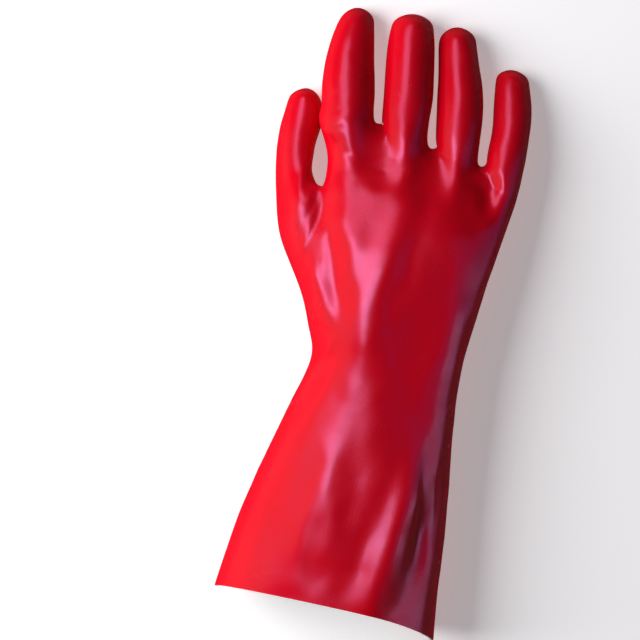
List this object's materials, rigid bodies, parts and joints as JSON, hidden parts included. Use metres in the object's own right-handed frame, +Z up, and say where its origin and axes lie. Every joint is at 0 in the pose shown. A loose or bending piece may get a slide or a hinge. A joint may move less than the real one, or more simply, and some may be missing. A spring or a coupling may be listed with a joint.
{
  "type": "pvc coated work glove",
  "caption": "Long gauntlet work glove for the right hand in glossy red PVC on a knitted liner, hollow from its flared cuff to its fingertips, lying palm down.",
  "frame": {"origin": "middle of the glove's outline, on the surface that it lies on", "axes": "+Y towards the fingers, with the open cuff at -Y; +Z up out of the back of the hand; -X to the thumb"},
  "size_m": [0.1452, 0.358, 0.0606],
  "materials": {
    "pvc": "smooth glossy dipped coating, with the knit of the liner showing faintly through it"
  },
  "bodies": {
    "root": {"glove_shell": "pvc"}
  },
  "joints": []
}
